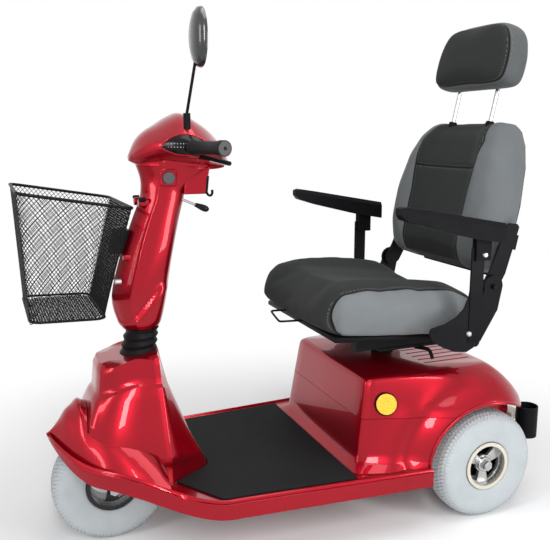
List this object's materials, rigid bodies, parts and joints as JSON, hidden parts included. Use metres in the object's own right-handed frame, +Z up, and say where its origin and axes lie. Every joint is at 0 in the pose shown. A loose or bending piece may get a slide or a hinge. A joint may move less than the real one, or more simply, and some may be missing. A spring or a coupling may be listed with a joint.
{
  "type": "three-wheeled mobility scooter",
  "caption": "Red three-wheeled electric mobility scooter with a captain's seat, a tiller with a wire basket and one mirror, and a cup for a crutch.",
  "frame": {"origin": "centre of the bounding box's base, on the ground", "axes": "+X forwards, +Y to the rider's left, +Z up"},
  "size_m": [1.1995, 0.589, 1.1697],
  "materials": {
    "amber_lens": "glossy",
    "bare_steel": "satin",
    "battery_case": "satin",
    "black_plastic": "satin",
    "black_steel": "satin",
    "cast_alloy": "matte",
    "charcoal_cloth": "matte",
    "chrome": "polished",
    "grey_tyre": "matte",
    "mat_rubber": "matte",
    "pale_bracket": "matte",
    "red_gloss": "glossy",
    "silver_rim": "satin"
  },
  "bodies": {
    "chassis": {"floor_shell": "red_gloss", "front_cowl": "red_gloss", "floor_mat": "mat_rubber", "frame": "black_steel", "rear_axle": "bare_steel", "transaxle": "cast_alloy", "steering_boot": "black_plastic", "rear_body_lower": "red_gloss", "rear_cover": "red_gloss", "battery_pack": "battery_case", "reflector_left": "amber_lens", "reflector_right": "amber_lens", "seat_post": "black_steel", "crutch_cup": "black_plastic", "cup_strap": "pale_bracket"},
    "steering": {"steering_fork": "black_steel", "front_axle": "bare_steel"},
    "front_wheel": {"front_tyre": "grey_tyre", "front_rim": "black_steel"},
    "rear_wheel_left": {"rear_tyre_left": "grey_tyre", "rear_rim_left": "silver_rim"},
    "rear_wheel_right": {"rear_tyre_right": "grey_tyre", "rear_rim_right": "silver_rim"},
    "tiller": {"tiller_column": "red_gloss", "tiller_head": "red_gloss", "console_box": "red_gloss", "tilt_lever": "black_steel", "handlebar": "black_steel", "grip_left": "mat_rubber", "grip_right": "mat_rubber", "lever_left": "black_plastic", "lever_right": "black_plastic", "mirror_head": "black_plastic", "mirror_stalk": "black_steel", "basket": "black_steel", "basket_bracket": "black_steel"},
    "seat_swivel": {"swivel_base": "black_steel"},
    "seat": {"seat_pan": "black_steel", "seat_cushion": "charcoal_cloth", "slide_handle": "black_steel", "arm_upright_left": "black_steel", "arm_upright_right": "black_steel"},
    "backrest": {"back_cushion": "charcoal_cloth", "back_shell": "black_plastic"},
    "headrest": {"headrest_cushion": "charcoal_cloth", "headrest_posts": "chrome"},
    "armrest_left": {"arm_pad_left": "black_plastic"},
    "armrest_right": {"arm_pad_right": "black_plastic"}
  },
  "joints": [
    {"name": "steering_turn", "type": "hinge", "parent": "chassis", "child": "steering", "pos_m": [0.4331, 0, 0.13], "axis": [-0.2419, 0, 0.9703], "range_deg": [-35, 35], "deforming": ["steering_boot"]},
    {"name": "front_wheel_spin", "type": "hinge", "parent": "steering", "child": "front_wheel", "pos_m": [0.4331, 0, 0.13], "axis": [0, 1, 0], "continuous": true},
    {"name": "rear_wheel_left_spin", "type": "hinge", "parent": "chassis", "child": "rear_wheel_left", "pos_m": [-0.4049, 0.231, 0.13], "axis": [0, 1, 0], "continuous": true},
    {"name": "rear_wheel_right_spin", "type": "hinge", "parent": "chassis", "child": "rear_wheel_right", "pos_m": [-0.4049, -0.231, 0.13], "axis": [0, 1, 0], "continuous": true},
    {"name": "tiller_tilt", "type": "hinge", "parent": "steering", "child": "tiller", "pos_m": [0.35448, 0, 0.44535], "axis": [0, -1, 0], "range_deg": [-10, 25], "deforming": ["steering_boot"]},
    {"name": "seat_turn", "type": "hinge", "parent": "chassis", "child": "seat_swivel", "pos_m": [-0.2649, 0, 0.395], "axis": [0, 0, 1], "continuous": true},
    {"name": "seat_slide", "type": "slide", "parent": "seat_swivel", "child": "seat", "axis": [1, 0, 0], "range_m": [-0.04, 0.04]},
    {"name": "back_recline", "type": "hinge", "parent": "seat", "child": "backrest", "pos_m": [-0.4199, 0, 0.556], "axis": [0, 1, 0], "range_deg": [-30, 55]},
    {"name": "headrest_slide", "type": "slide", "parent": "backrest", "child": "headrest", "axis": [-0.2164, 0, 0.9763], "range_m": [-0.05, 0.03]},
    {"name": "armrest_left_lift", "type": "hinge", "parent": "seat", "child": "armrest_left", "pos_m": [-0.3549, 0.2705, 0.64], "axis": [0, -1, 0], "range_deg": [0, 90]},
    {"name": "armrest_right_lift", "type": "hinge", "parent": "seat", "child": "armrest_right", "pos_m": [-0.3549, -0.2705, 0.64], "axis": [0, -1, 0], "range_deg": [0, 90]}
  ]
}
